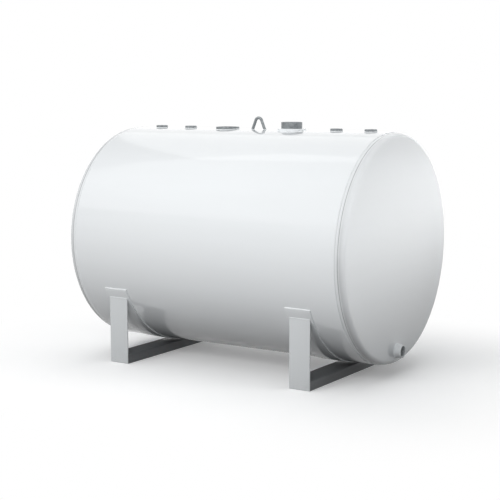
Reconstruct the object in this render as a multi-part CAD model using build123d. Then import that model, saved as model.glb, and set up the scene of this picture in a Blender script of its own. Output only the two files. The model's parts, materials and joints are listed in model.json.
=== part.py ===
from build123d import *
import os
from math import asin, atan2, cos, degrees, hypot, radians, sin, sqrt, tan

# Farm fuel tank: a horizontal welded steel cylinder on two low skid stands.
# Millimetres, +X along the tank to the drained end, -Y to the front, +Z up from the ground.

# Tank body
tank_diameter = 1219.2
tank_length = 1727.2
axis_height = 678.0
shell_wall = 2.66
head_wall = 3.4
knuckle_radius = 28.0
flange_exposed = 22.0
flange_lap = 25.0
lap_clearance = 0.2
crease_width = 5.0
crease_depth = 1.2
head_weld_reach = 5.0
seam_width = 9.0
seam_height = 1.6
seam_angle = 20.0

# Skid stands
stand_inset = 284.0
leg_width = 120.0
leg_thickness = 6.0
leg_edge_radius = 2.5
crossbar_height = 50.0
crossbar_wall = 4.8
crossbar_bend = 8.0
saddle_margin = 14.0
saddle_thickness = 4.8
saddle_half_angle = 65.0
saddle_overhang_angle = 5.4
stand_bead_radius = 4.0

# Threaded fittings on the crown, placed from the middle of the tank by shares of its half length
crown_place_shares = {
    "left_end_bung": -0.7693,
    "left_inner_bung": -0.5312,
    "large_bung": -0.2381,
    "lifting_lug": 0.0008,
    "vent_riser": 0.2469,
    "right_inner_bung": 0.567,
    "right_end_bung": 0.8044,
}
small_bungs = ["left_end_bung", "left_inner_bung", "right_inner_bung", "right_end_bung"]
small_bung_diameter = 66.0
small_bung_bore = 56.6
small_bung_height = 13.0
large_bung_diameter = 131.0
large_bung_bore = 108.0
large_bung_height = 12.0
riser_diameter = 114.3
riser_bore = 102.3
riser_height = 44.0
riser_ring_diameter = 157.0
riser_ring_height = 9.0
rim_chamfer = 1.5
relief_height = 3.0
relief_width = 1.5
fitting_weld_leg = 5.0

# Lifting lug, a bent round bar
lug_bar = 16.0
lug_spread = 79.0
lug_height = 72.0
lug_bend_radius = 20.0
lug_root = 8.0

# Drain coupling low on the right head, its weld this far above the knuckle
drain_margin = 0.74
drain_diameter = 70.0
drain_bore = 56.6
drain_reach = 38.0

# Cuts run past what they cut by this much
overrun = 20.0

# Places worked out from the sizes above
shell_radius = tank_diameter / 2
shell_bore_radius = shell_radius - shell_wall
head_face = tank_length / 2
knuckle_start = head_face - knuckle_radius
shell_end = knuckle_start - flange_exposed
flange_radius = shell_bore_radius - lap_clearance
crown = axis_height + shell_radius
crown_places = {name: share * head_face for name, share in crown_place_shares.items()}
large_bung_x = crown_places["large_bung"]
lug_x = crown_places["lifting_lug"]
riser_x = crown_places["vent_riser"]
crown_holes = [(crown_places[name], small_bung_bore) for name in small_bungs]
crown_holes += [(large_bung_x, large_bung_bore), (riser_x, riser_bore)]
stand_x = head_face - stand_inset
saddle_radius = shell_radius + saddle_thickness
saddle_width = leg_width + 2 * saddle_margin
leg_seat_angle = radians(saddle_half_angle - saddle_overhang_angle)
leg_face = saddle_radius * sin(leg_seat_angle)
leg_top = axis_height - saddle_radius * cos(leg_seat_angle)
flat_radius = flange_radius - knuckle_radius
drain_height = axis_height - flat_radius + drain_margin + fitting_weld_leg + drain_diameter / 2
frame_shift = -drain_reach / 2


def along_tank(radius, length):
    """A cylinder on the tank's axis."""
    return Pos(0, 0, axis_height) * Rot(0, 90, 0) * Cylinder(radius, length)


def outside_shell(piece):
    """The piece with its underside cut to sit on the shell."""
    return piece - along_tank(shell_radius, tank_length)


def crown_drop(radius):
    """How far the shell falls away from its crown at this distance."""
    return shell_radius - sqrt(shell_radius**2 - radius**2)


def crown_post(x, diameter, height):
    """A round post on the crown, seated on the shell."""
    depth = crown_drop(diameter / 2) + overrun
    post = Cylinder(diameter / 2, height + depth, align=(Align.CENTER, Align.CENTER, Align.MAX))
    return outside_shell(Pos(x, 0, crown + height) * post)


def crown_drill(x, diameter, start, depth):
    """An upright drill through the crown, from this height above it, downwards."""
    drill = Cylinder(diameter / 2, depth, align=(Align.CENTER, Align.CENTER, Align.MAX))
    return Pos(x, 0, crown + start) * drill


def revolved(edges):
    """A closed half section in (along, radius), turned about the tank's axis."""
    return Pos(0, 0, axis_height) * revolve(make_face(edges), Axis.X)


def across_section(edges, length):
    """A closed section in (Y, Z) about the tank's axis, run along X both ways."""
    return Pos(0, 0, axis_height) * extrude(Plane.YZ * make_face(edges), length / 2, both=True)


def shell():
    """The rolled cylinder, open at both ends, with a hole under each fitting."""
    tube = along_tank(shell_radius, 2 * shell_end) - along_tank(shell_bore_radius, tank_length)
    for x, bore in crown_holes:
        tube -= crown_drill(x, bore + 2 * relief_width, overrun, 2 * overrun)
    return tube


def head():
    """A flat pressed end: flange inside the shell, rolled crease, knuckle and flat face."""
    start = shell_end - flange_lap
    bend_centre = (knuckle_start, flat_radius)
    flange = Line((start, flange_radius), (knuckle_start - crease_width, flange_radius))
    crease_floor = (knuckle_start - crease_width / 2, flange_radius - crease_depth)
    crease = Polyline(flange @ 1, crease_floor, (knuckle_start, flange_radius))
    knuckle = CenterArc(bend_centre, knuckle_radius, 90, -90)
    middle = Line((head_face, 0), (head_face - head_wall, 0))
    inner_knuckle = CenterArc(bend_centre, knuckle_radius - head_wall, 0, 90)
    inner_flange = Line(inner_knuckle @ 1, (start, flange_radius - head_wall))
    return revolved(
        [
            flange,
            crease,
            knuckle,
            Line(knuckle @ 1, middle @ 0),
            middle,
            Line(middle @ 1, inner_knuckle @ 0),
            inner_knuckle,
            inner_flange,
            Line(inner_flange @ 1, flange @ 0),
        ]
    )


def head_weld():
    """The fillet between the shell's edge and the flange inside it."""
    root = (shell_end, flange_radius)
    toe = (shell_end + head_weld_reach, flange_radius)
    top = (shell_end, shell_radius)
    return revolved(Polyline(root, toe, top, close=True))


def seam_weld():
    """The long seam of the rolled sheet, a low bead on the rear side."""
    half = degrees(seam_width / 2 / shell_radius)
    under = CenterArc((0, 0), shell_radius, seam_angle - half, 2 * half)
    ridge = PolarLine((0, 0), shell_radius + seam_height, seam_angle) @ 1
    return across_section([under, ThreePointArc(under @ 1, ridge, under @ 0)], 2 * shell_end)


def saddle():
    """The curved wear strap under the shell."""
    first = 270 - saddle_half_angle
    inner = CenterArc((0, 0), shell_radius, first, 2 * saddle_half_angle)
    outer = CenterArc((0, 0), saddle_radius, first, 2 * saddle_half_angle)
    ends = [Line(inner @ 0, outer @ 0), Line(inner @ 1, outer @ 1)]
    return across_section([inner, outer, *ends], saddle_width)


def leg():
    """The front leg plate, its head cut to the saddle and its foot eased."""
    plate = Box(leg_width, leg_thickness, leg_top, align=(Align.CENTER, Align.MIN, Align.MIN))
    foot = plate.edges().filter_by(Axis.X).group_by(Axis.Z)[0].sort_by(Axis.Y)[0]
    plate = Pos(0, -leg_face, 0) * fillet(foot, leg_edge_radius)
    return plate - along_tank(saddle_radius, tank_length)


def crossbar():
    """A folded channel between the legs, flanges down on the ground."""
    half = leg_width / 2
    inside = half - crossbar_wall
    under = crossbar_height - crossbar_wall
    right = [(0, crossbar_height), (half, crossbar_height), (half, 0), (inside, 0), (inside, under)]
    left = [(-x, z) for x, z in reversed(right[1:])]
    section = make_face(Polyline(*right, *left, close=True))
    section = fillet(section.vertices().filter_by(lambda v: v.Y == under), crossbar_bend - crossbar_wall)
    corners = section.vertices().group_by(Axis.Y)[-1].filter_by(lambda v: v.X != 0)
    section = fillet(corners, crossbar_bend)
    return extrude(Plane.XZ * section, leg_face - leg_thickness, both=True)


def stand_bead(y, z, length):
    """A round weld bead along X."""
    return Pos(0, y, z) * Rot(0, 90, 0) * Cylinder(stand_bead_radius, length)


def bung(x, diameter, bore, height):
    """A threaded collar on the crown, with a relief below its thread."""
    collar = crown_post(x, diameter, height) - crown_drill(x, bore, height + overrun, height + 2 * overrun)
    collar = chamfer(collar.edges().group_by(Axis.Z)[-1], rim_chamfer)
    return collar - crown_drill(x, bore + 2 * relief_width, relief_height, overrun)


def riser():
    """The tall open pipe for the vent."""
    pipe = crown_post(riser_x, riser_diameter, riser_height)
    pipe -= crown_drill(riser_x, riser_bore, riser_height + overrun, riser_height + 2 * overrun)
    pipe = chamfer(pipe.edges().group_by(Axis.Z)[-1], rim_chamfer)
    return pipe - crown_drill(riser_x, riser_bore + 2 * relief_width, relief_height, overrun)


def riser_ring():
    """The low reinforcing ring round the foot of the riser."""
    ring = crown_post(riser_x, riser_ring_diameter, riser_ring_height)
    rim = ring.edges().group_by(Axis.Z)[-1]
    ring = chamfer(rim, rim_chamfer)
    return ring - crown_drill(riser_x, riser_diameter, riser_height, riser_height + overrun)


def weld_cone(diameter, depth):
    """A 45 degree fillet round a post of this diameter, carried down by depth, its foot at zero."""
    reach = fitting_weld_leg + depth
    return Cone(
        diameter / 2 + reach,
        diameter / 2,
        reach,
        align=(Align.CENTER, Align.CENTER, Align.MIN),
    )


def crown_weld(x, diameter):
    """The fillet weld round a fitting on the crown."""
    depth = crown_drop(diameter / 2 + fitting_weld_leg) + fitting_weld_leg
    ring = weld_cone(diameter, depth) - Cylinder(diameter / 2, tank_diameter)
    return outside_shell(Pos(x, 0, crown - depth) * ring)


def lifting_lug():
    """A round bar bent to a narrow arch, its feet on the crown."""
    half = lug_spread / 2
    rise = lug_height - lug_bar / 2 - lug_bend_radius
    lean = atan2(rise, half) + asin(lug_bend_radius / hypot(half, rise))
    peak = half * tan(lean)
    foot = half * (peak + lug_root) / peak
    path = FilletPolyline((-foot, -lug_root), (0, peak), (foot, -lug_root), radius=lug_bend_radius)
    path = Plane.XZ * path
    bar = sweep(Plane(path @ 0, z_dir=path % 0) * Circle(lug_bar / 2), path=path)
    return outside_shell(Pos(lug_x, 0, crown) * bar)


def lug_weld(side, lug):
    """The fillet round one foot of the lug."""
    ring = weld_cone(lug_bar, fitting_weld_leg)
    return outside_shell(Pos(lug_x + side * lug_spread / 2, 0, crown - fitting_weld_leg) * ring) - lug


def drain_drill(diameter, length):
    """A drill along X at the drain."""
    drill = Cylinder(diameter / 2, length, align=(Align.CENTER, Align.CENTER, Align.MIN))
    return Pos(head_face, 0, drain_height) * Rot(0, 90, 0) * drill


def drain_coupling():
    """The threaded half coupling on the face of the right head."""
    sleeve = drain_drill(drain_diameter, drain_reach) - drain_drill(drain_bore, drain_reach + overrun)
    sleeve = chamfer(sleeve.edges().group_by(Axis.X)[-1], rim_chamfer)
    return sleeve - drain_drill(drain_bore + 2 * relief_width, relief_height)


def drain_weld():
    """The fillet round the drain coupling."""
    ring = Rot(0, 90, 0) * weld_cone(drain_diameter, 0)
    return Pos(head_face, 0, drain_height) * ring - drain_drill(drain_diameter, drain_reach)


def stand_welds():
    """Beads of one stand: along the saddle's edges, on the leg heads and at the crossbar's ends."""
    strap, plate, bar = saddle(), leg(), crossbar()
    edge = PolarLine((0, 0), shell_radius, 270 - saddle_half_angle) @ 1
    on_saddle = outside_shell(stand_bead(edge.X, axis_height + edge.Y, saddle_width)) - strap
    on_leg = stand_bead(-leg_face, leg_top, leg_width) - along_tank(saddle_radius, tank_length) - plate
    flat = leg_width - 2 * crossbar_bend
    on_bar = stand_bead(leg_thickness - leg_face, crossbar_height, flat) - bar - plate
    return [on_saddle, on_leg, on_bar]


def both_ways(pieces, plane):
    """The pieces and their mirror images."""
    return [*pieces, *[mirror(piece, about=plane) for piece in pieces]]


def model():
    """Every piece of the tank by its name."""
    lug = lifting_lug()
    right_head = head() - Pos(-overrun, 0, 0) * drain_drill(drain_bore + 2 * relief_width, 2 * overrun)
    pieces = {
        "shell": shell(),
        "left_head": mirror(head(), about=Plane.YZ),
        "right_head": right_head,
        "left_head_weld": mirror(head_weld(), about=Plane.YZ),
        "right_head_weld": head_weld(),
        "shell_seam_weld": seam_weld(),
        "large_bung": bung(large_bung_x, large_bung_diameter, large_bung_bore, large_bung_height),
        "vent_riser": riser(),
        "vent_riser_ring": riser_ring(),
        "lifting_lug": lug,
        "drain_coupling": drain_coupling(),
    }
    for name in small_bungs:
        pieces[name] = bung(crown_places[name], small_bung_diameter, small_bung_bore, small_bung_height)
    welds = [crown_weld(crown_places[name], small_bung_diameter) for name in small_bungs]
    welds += [crown_weld(large_bung_x, large_bung_diameter), crown_weld(riser_x, riser_ring_diameter)]
    pieces["crown_fitting_welds"] = Compound(welds)
    pieces["lifting_lug_welds"] = Compound([lug_weld(-1, lug), lug_weld(1, lug)])
    pieces["drain_coupling_weld"] = drain_weld()
    for side, x in (("left", -stand_x), ("right", stand_x)):
        place = Pos(x, 0, 0)
        pieces[f"{side}_saddle"] = place * saddle()
        pieces[f"{side}_front_leg"] = place * leg()
        pieces[f"{side}_rear_leg"] = place * mirror(leg(), about=Plane.XZ)
        pieces[f"{side}_crossbar"] = place * crossbar()
        pieces[f"{side}_stand_welds"] = place * Compound(both_ways(stand_welds(), Plane.XZ))
    return pieces


os.makedirs("parts", exist_ok=True)
for name, piece in model().items():
    export_step(Pos(frame_shift, 0, 0) * piece, f"parts/{name}.step")
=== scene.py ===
"""Looks of a farm fuel tank: white enamel on rolled sheet, grey steel fittings, weld beads and pipe threads.

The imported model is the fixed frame. Every piece here takes its size and place from it, in metres.
"""

from __future__ import annotations

import json
import logging
import math
from dataclasses import dataclass, field
from enum import Enum
from typing import Any, Sequence

import bmesh
import bpy
import numpy as np
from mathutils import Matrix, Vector

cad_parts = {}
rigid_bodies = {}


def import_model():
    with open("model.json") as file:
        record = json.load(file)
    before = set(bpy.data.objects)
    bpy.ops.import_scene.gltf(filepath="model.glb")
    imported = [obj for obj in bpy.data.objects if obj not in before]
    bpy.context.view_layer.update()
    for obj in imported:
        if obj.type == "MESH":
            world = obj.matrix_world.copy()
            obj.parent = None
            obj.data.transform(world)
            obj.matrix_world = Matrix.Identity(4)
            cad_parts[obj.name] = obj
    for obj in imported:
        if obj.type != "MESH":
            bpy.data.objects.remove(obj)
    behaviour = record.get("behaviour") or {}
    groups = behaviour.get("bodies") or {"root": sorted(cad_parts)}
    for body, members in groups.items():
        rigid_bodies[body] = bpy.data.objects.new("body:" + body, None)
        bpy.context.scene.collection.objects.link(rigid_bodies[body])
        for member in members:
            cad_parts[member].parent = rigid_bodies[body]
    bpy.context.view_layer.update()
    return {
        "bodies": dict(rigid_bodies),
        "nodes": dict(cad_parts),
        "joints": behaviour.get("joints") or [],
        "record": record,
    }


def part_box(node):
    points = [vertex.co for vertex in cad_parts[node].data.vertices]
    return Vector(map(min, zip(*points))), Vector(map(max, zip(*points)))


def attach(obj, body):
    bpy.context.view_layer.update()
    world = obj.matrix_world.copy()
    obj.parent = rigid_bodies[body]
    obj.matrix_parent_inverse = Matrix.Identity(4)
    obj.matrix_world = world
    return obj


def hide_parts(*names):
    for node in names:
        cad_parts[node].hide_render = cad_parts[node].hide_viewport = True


Socket = bpy.types.NodeSocket
Material = bpy.types.Material
Mesh = bpy.types.Mesh
Piece = bpy.types.Object
Colour = tuple[float, float, float]
Triple = tuple[float, float, float]
Span = tuple[float, float]

LOG = logging.getLogger("fuel_tank")
BODY = "root"
MILLIMETRE = 0.001
FULL_TURN = 2.0 * math.pi
UPWARDS = (0.0, 0.0, 1.0)
IMAGE_SIDE = 500
SMALL_BUNGS = ("left_end_bung", "left_inner_bung", "right_inner_bung", "right_end_bung")
KNUCKLE_RADIUS = 28.0 * MILLIMETRE
JOIN_DISTANCE = 0.01 * MILLIMETRE
DRILL_SIDES = 96
SMOOTH_ANGLE = 32.0
EASED_SMOOTH_ANGLE = 40.0
PRESSED_SMOOTH_ANGLE = 50.0
SHARP_EDGE_ANGLE = 35.0


class Side(Enum):
    """The two ends of the tank, each with the sign of its direction along X."""

    LEFT = -1
    RIGHT = 1

    @property
    def word(self) -> str:
        """The side's name as the model's nodes spell it."""
        return self.name.lower()


class Slot(Enum):
    """The record's material slots."""

    TANK = "tank_paint"
    STAND = "stand_paint"
    STEEL = "fitting_steel"


class NodeGraph:
    """A node tree with short ways to add and link nodes."""

    def __init__(self, tree: bpy.types.NodeTree) -> None:
        """Keeps the shader or geometry tree to build in."""
        self.tree = tree

    def add(self, kind: str, inputs: dict[str | int, Any] | None = None, **settings: Any) -> bpy.types.Node:
        """Adds a node.

        Args:
            kind: the node's type name.
            inputs: values or sockets by input name or number.
            settings: properties of the node itself.

        Returns:
            The new node.
        """
        node = self.tree.nodes.new(kind)
        for name, value in settings.items():
            setattr(node, name, value)
        for key, value in (inputs or {}).items():
            self.feed(self.socket(node, key), value)
        return node

    def socket(self, node: bpy.types.Node, key: str | int) -> Socket:
        """Finds an input that is in use.

        Args:
            node: the node to look at.
            key: the input's name, or its number.

        Returns:
            The first enabled input of that name.
        """
        if isinstance(key, int):
            return node.inputs[key]
        return next(socket for socket in node.inputs if socket.name == key and socket.enabled)

    def result(self, node: bpy.types.Node) -> Socket:
        """The first output of a node that is in use."""
        return next(output for output in node.outputs if output.enabled)

    def feed(self, socket: Socket, value: Any) -> None:
        """Links a socket into another, or sets a constant on it.

        Args:
            socket: the input to feed.
            value: an output socket or a constant.
        """
        if isinstance(value, Socket):
            self.tree.links.new(value, socket)
        else:
            socket.default_value = value

    def maths(self, operation: str, first: Any, second: Any) -> Socket:
        """One sum of two values."""
        return self.add("ShaderNodeMath", {0: first, 1: second}, operation=operation).outputs[0]

    def seen_rays(self) -> Socket:
        """Tells the rays that see a background from those that carry its light.

        Returns:
            1 for camera, glossy and transmission rays, and 0 for others.
        """
        path = self.add("ShaderNodeLightPath")
        seen = path.outputs["Is Camera Ray"]
        for name in ("Is Glossy Ray", "Is Transmission Ray"):
            seen = self.maths("MAXIMUM", seen, path.outputs[name])
        return seen


@dataclass(frozen=True)
class Patches:
    """A patchy noise: its fineness per metre, octaves, span that counts, greatest amount and stretch."""

    scale: float
    octaves: float
    span: Span
    amount: float
    stretch: Triple | None = None


@dataclass(frozen=True)
class Relief:
    """A noise that stands out of a surface: its fineness per metre, octaves, depth and strength."""

    scale: float
    octaves: float
    depth: float
    strength: float


class ShaderGraph(NodeGraph):
    """A material's nodes, with the patterns that the finishes share."""

    def __init__(self, name: str) -> None:
        """Starts a material with one principled shader.

        Args:
            name: the material's name.
        """
        self.material = bpy.data.materials.new(name)
        self.material.use_nodes = True
        super().__init__(self.material.node_tree)
        self.shader = self.tree.nodes["Principled BSDF"]
        self.place = self.add("ShaderNodeTexCoord").outputs["Object"]

    def set(self, **values: Any) -> None:
        """Feeds the shader's inputs, named with underscores for spaces."""
        for name, value in values.items():
            self.feed(self.shader.inputs[name.replace("_", " ")], value)

    def part(self, vector: Socket, axis: str) -> Socket:
        """One part of a vector, by its axis letter."""
        return self.add("ShaderNodeSeparateXYZ", {"Vector": vector}).outputs[axis]

    def height(self) -> Socket:
        """The height above the ground."""
        return self.part(self.place, "Z")

    def facing_up(self) -> Socket:
        """How far the surface faces upwards, as its normal's height."""
        return self.part(self.add("ShaderNodeNewGeometry").outputs["Normal"], "Z")

    def noise(self, scale: float, octaves: float, place: Socket | None = None) -> Socket:
        """A noise from 0 to 1.

        Args:
            scale: how fine it is, per metre.
            octaves: how many finer noises lie on it.
            place: coordinates other than the object's own.

        Returns:
            The noise's value.
        """
        inputs = {"Vector": place or self.place, "Scale": scale, "Detail": octaves}
        return self.add("ShaderNodeTexNoise", inputs).outputs["Fac"]

    def ramp(self, value: Socket, span: Span, to: Span) -> Socket:
        """Maps a value from one span to another, held at the ends.

        Args:
            value: what to map.
            span: where the value starts and ends.
            to: the results there.

        Returns:
            The mapped value.
        """
        inputs = {"Value": value, "From Min": span[0], "From Max": span[1], "To Min": to[0], "To Max": to[1]}
        return self.add("ShaderNodeMapRange", inputs).outputs["Result"]

    def patches(self, pattern: Patches) -> Socket:
        """How much of a patchy pattern shows at each place.

        Args:
            pattern: the pattern.

        Returns:
            From 0 to the pattern's greatest amount.
        """
        place = self.place
        if pattern.stretch is not None:
            mapping = self.add("ShaderNodeMapping", {"Vector": place, "Scale": pattern.stretch})
            place = mapping.outputs["Vector"]
        noise = self.noise(pattern.scale, pattern.octaves, place)
        return self.ramp(noise, pattern.span, (0.0, pattern.amount))

    def mixed(self, amount: Any, first: Colour | Socket, second: Colour | Socket) -> Socket:
        """A colour between two others.

        Args:
            amount: 0 for the first, 1 for the second.
            first: a colour or a colour socket.
            second: a colour or a colour socket.

        Returns:
            The mixed colour.
        """
        node = self.add("ShaderNodeMix", {"Factor": amount}, data_type="RGBA")
        for name, value in (("A", first), ("B", second)):
            self.feed(self.socket(node, name), (*value, 1.0) if isinstance(value, tuple) else value)
        return self.result(node)

    def bumped(self, height: Socket, depth: float, strength: float, under: Socket | None = None) -> Socket:
        """A bump, laid on another if one is given.

        Args:
            height: the height pattern.
            depth: its depth in metres.
            strength: how much of it shows.
            under: the normal of the bump below.

        Returns:
            The bumped normal.
        """
        inputs = {"Height": height, "Distance": depth, "Strength": strength}
        if under is not None:
            inputs["Normal"] = under
        return self.add("ShaderNodeBump", inputs).outputs["Normal"]

    def raised(self, relief: Relief, under: Socket | None = None) -> Socket:
        """A bump from a noise, laid on another bump if one is given."""
        return self.bumped(self.noise(relief.scale, relief.octaves), relief.depth, relief.strength, under)


@dataclass(frozen=True)
class RimShadeBand:
    """A band of painted shade round the tank: its place along X, half width, amount, and whether it is mostly
    low, darker towards the bottom.
    """

    place: float
    half_width: float
    amount: float
    mostly_low: bool = False


@dataclass(frozen=True)
class Enamel:
    """Gloss enamel, sprayed over sheet steel, with a little dust, streaks and scuffs, and bands of painted
    shade round the rims.
    """

    name: str
    base: Colour = (0.868, 0.890, 0.904)
    shade: Colour = (0.835, 0.860, 0.878)
    dust_colour: Colour = (0.60, 0.595, 0.58)
    # the colour of the painted shade in the rim bands
    rim_shade_colour: Colour = (0.10, 0.105, 0.11)
    scuff_colour: Colour = (0.36, 0.36, 0.355)
    roughness: float = 0.08
    gloss_spread: Span = (-0.04, 0.05)
    gloss_span: Span = (0.3, 0.7)
    tone_scale: float = 0.9
    tone_octaves: float = 1.0
    tone_span: Span = (0.2, 0.8)
    shade_share: float = 0.6
    streaks: Patches = Patches(1.0, 3.0, (0.30, 0.80), 0.08, (0.8, 0.8, 9.0))
    dust: Patches = Patches(5.0, 3.0, (0.30, 0.90), 0.06)
    dust_facing: Span = (0.15, 0.95)
    dust_share: Span = (0.12, 1.0)
    # painted shade round the rims: its bands, its fade with height and its patchy noise
    rim_shade: tuple[RimShadeBand, ...] = ()
    rim_shade_height: Span = (0.25, 0.95)
    rim_shade_height_share: Span = (1.0, 0.45)
    rim_shade_scale: float = 9.0
    rim_shade_octaves: float = 4.0
    rim_shade_span: Span = (0.3, 0.7)
    rim_shade_share: Span = (0.75, 1.0)
    scuff: float = 0.0
    scuff_height: float = 0.0
    scrapes: Patches = Patches(1.0, 6.0, (0.56, 0.66), 1.0, (55.0, 55.0, 340.0))
    splashes: Patches = Patches(16.0, 9.0, (0.44, 0.70), 0.7)
    flow: Relief = Relief(9.0, 1.0, 1.6 * MILLIMETRE, 0.10)
    peel: Relief = Relief(430.0, 1.0, 0.3 * MILLIMETRE, 0.16)
    index: float = 1.5
    coat: float = 0.5
    coat_roughness: float = 0.03

    def material(self) -> Material:
        """Builds the enamel.

        Returns:
            The finished material.
        """
        graph = ShaderGraph(self.name)
        tone = graph.noise(self.tone_scale, self.tone_octaves)
        shaded = graph.ramp(tone, self.tone_span, (0.0, self.shade_share))
        colour = graph.mixed(shaded, self.base, self.shade)
        colour = graph.mixed(graph.patches(self.streaks), colour, self.dust_colour)
        facing = graph.ramp(graph.facing_up(), self.dust_facing, self.dust_share)
        dusty = graph.maths("MULTIPLY", graph.patches(self.dust), facing)
        colour = graph.mixed(dusty, colour, self.dust_colour)
        least, most = (self.roughness + spread for spread in self.gloss_spread)
        rough = graph.maths("ADD", graph.ramp(tone, self.gloss_span, (least, most)), dusty)
        # painted shade: dark bands on the flange, beside the weld, in the crease and on the knuckle, darker
        # towards the bottom there
        if self.rim_shade:
            colour = graph.mixed(self.rim_shaded(graph), colour, self.rim_shade_colour)
        if self.scuff:
            colour, rough = self.scuffed(graph, colour, rough)
        peel = graph.raised(self.peel, graph.raised(self.flow))
        graph.set(Base_Color=colour, Roughness=rough, Normal=peel, IOR=self.index)
        graph.set(Coat_Weight=self.coat, Coat_Roughness=self.coat_roughness, Coat_IOR=self.index)
        return graph.material

    def rim_shaded(self, graph: ShaderGraph) -> Socket:
        """Gathers the bands of painted shade round the rims.

        Args:
            graph: the material's nodes.

        Returns:
            How much painted shade there is.
        """
        along = graph.part(graph.place, "X")
        low = graph.ramp(graph.height(), self.rim_shade_height, self.rim_shade_height_share)
        patchy = graph.ramp(
            graph.noise(self.rim_shade_scale, self.rim_shade_octaves), self.rim_shade_span, self.rim_shade_share
        )
        total: Any = 0.0
        for band in self.rim_shade:
            off = graph.maths("ABSOLUTE", graph.maths("SUBTRACT", along, band.place), 0.0)
            amount = graph.ramp(off, (0.0, band.half_width), (band.amount, 0.0))
            amount = graph.maths("MULTIPLY", amount, low) if band.mostly_low else amount
            total = graph.maths("MAXIMUM", amount, total)
        return graph.maths("MULTIPLY", total, patchy)

    def scuffed(self, graph: ShaderGraph, colour: Socket, rough: Socket) -> tuple[Socket, Socket]:
        """Adds scrapes and splashed dirt that fade out above the ground.

        Args:
            graph: the material's nodes.
            colour: the colour so far.
            rough: the roughness so far.

        Returns:
            The scuffed colour and roughness.
        """
        low = graph.ramp(graph.height(), (0.0, self.scuff_height), (1.0, 0.0))
        marks = graph.maths("MAXIMUM", graph.patches(self.scrapes), graph.patches(self.splashes))
        marks = graph.maths("MULTIPLY", graph.maths("MULTIPLY", marks, low), self.scuff)
        return graph.mixed(marks, colour, self.scuff_colour), graph.maths("ADD", rough, marks)


# painted shade: the legs' white stand paint made a darker grey for the shade they stand in; the scuffs low
# down are real wear
STAND_SHADED_ENAMEL = Enamel(
    "stand_shaded_enamel",
    base=(0.66, 0.68, 0.69),
    shade=(0.62, 0.64, 0.655),
    roughness=0.34,
    scuff=0.25,
    scuff_height=0.10,
)
# painted shade: the crossbars' white stand paint made near black for the deep shade under the tank
CROSSBAR_SHADED_ENAMEL = Enamel(
    "crossbar_shaded_enamel", base=(0.105, 0.112, 0.118), shade=(0.075, 0.080, 0.086), roughness=0.5
)


@dataclass(frozen=True)
class PlainSteel:
    """Grey pipe steel, turned on a lathe and dulled by a thin oxide."""

    name: str
    base: Colour = (0.310, 0.330, 0.342)
    oxide: Colour = (0.225, 0.240, 0.250)
    rust: Colour = (0.23, 0.13, 0.075)
    metallic: float = 0.85
    mottle_scale: float = 60.0
    mottle_octaves: float = 7.0
    oxide_span: Span = (0.36, 0.68)
    oxide_share: float = 0.9
    rough_span: Span = (0.3, 0.7)
    roughness: Span = (0.32, 0.54)
    stains: Patches = Patches(95.0, 9.0, (0.60, 0.78), 0.06)
    turning_scale: float = 300.0
    turning_distortion: float = 0.6
    turning_octaves: float = 2.0
    turning_depth: float = 0.12 * MILLIMETRE
    turning_strength: float = 0.35
    pits: Relief = Relief(520.0, 3.0, 0.25 * MILLIMETRE, 0.25)

    def material(self) -> Material:
        """Builds the steel.

        Returns:
            The finished material.
        """
        graph = ShaderGraph(self.name)
        mottle = graph.noise(self.mottle_scale, self.mottle_octaves)
        oxidised = graph.ramp(mottle, self.oxide_span, (0.0, self.oxide_share))
        colour = graph.mixed(oxidised, self.base, self.oxide)
        colour = graph.mixed(graph.patches(self.stains), colour, self.rust)
        rough = graph.ramp(mottle, self.rough_span, self.roughness)
        inputs = {
            "Vector": graph.place,
            "Scale": self.turning_scale,
            "Distortion": self.turning_distortion,
            "Detail": self.turning_octaves,
        }
        lines = graph.add("ShaderNodeTexWave", inputs, bands_direction="Z").outputs["Fac"]
        turned = graph.bumped(lines, self.turning_depth, self.turning_strength)
        pitted = graph.raised(self.pits, turned)
        graph.set(Base_Color=colour, Roughness=rough, Normal=pitted, Metallic=self.metallic)
        return graph.material


@dataclass(frozen=True)
class MillScale:
    """The bare, dark inside of the tank."""

    name: str
    base: Colour = (0.105, 0.105, 0.110)
    rust: Colour = (0.125, 0.075, 0.050)
    metallic: float = 0.5
    rusting: Patches = Patches(14.0, 8.0, (0.45, 0.72), 0.7)
    rough_scale: float = 30.0
    rough_octaves: float = 4.0
    rough_span: Span = (0.3, 0.7)
    roughness: Span = (0.48, 0.66)
    pits: Relief = Relief(260.0, 4.0, 0.5 * MILLIMETRE, 0.3)

    def material(self) -> Material:
        """Builds the bare sheet.

        Returns:
            The finished material.
        """
        graph = ShaderGraph(self.name)
        colour = graph.mixed(graph.patches(self.rusting), self.base, self.rust)
        rough = graph.ramp(graph.noise(self.rough_scale, self.rough_octaves), self.rough_span, self.roughness)
        pitted = graph.raised(self.pits)
        graph.set(Base_Color=colour, Roughness=rough, Normal=pitted, Metallic=self.metallic)
        return graph.material


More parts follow.
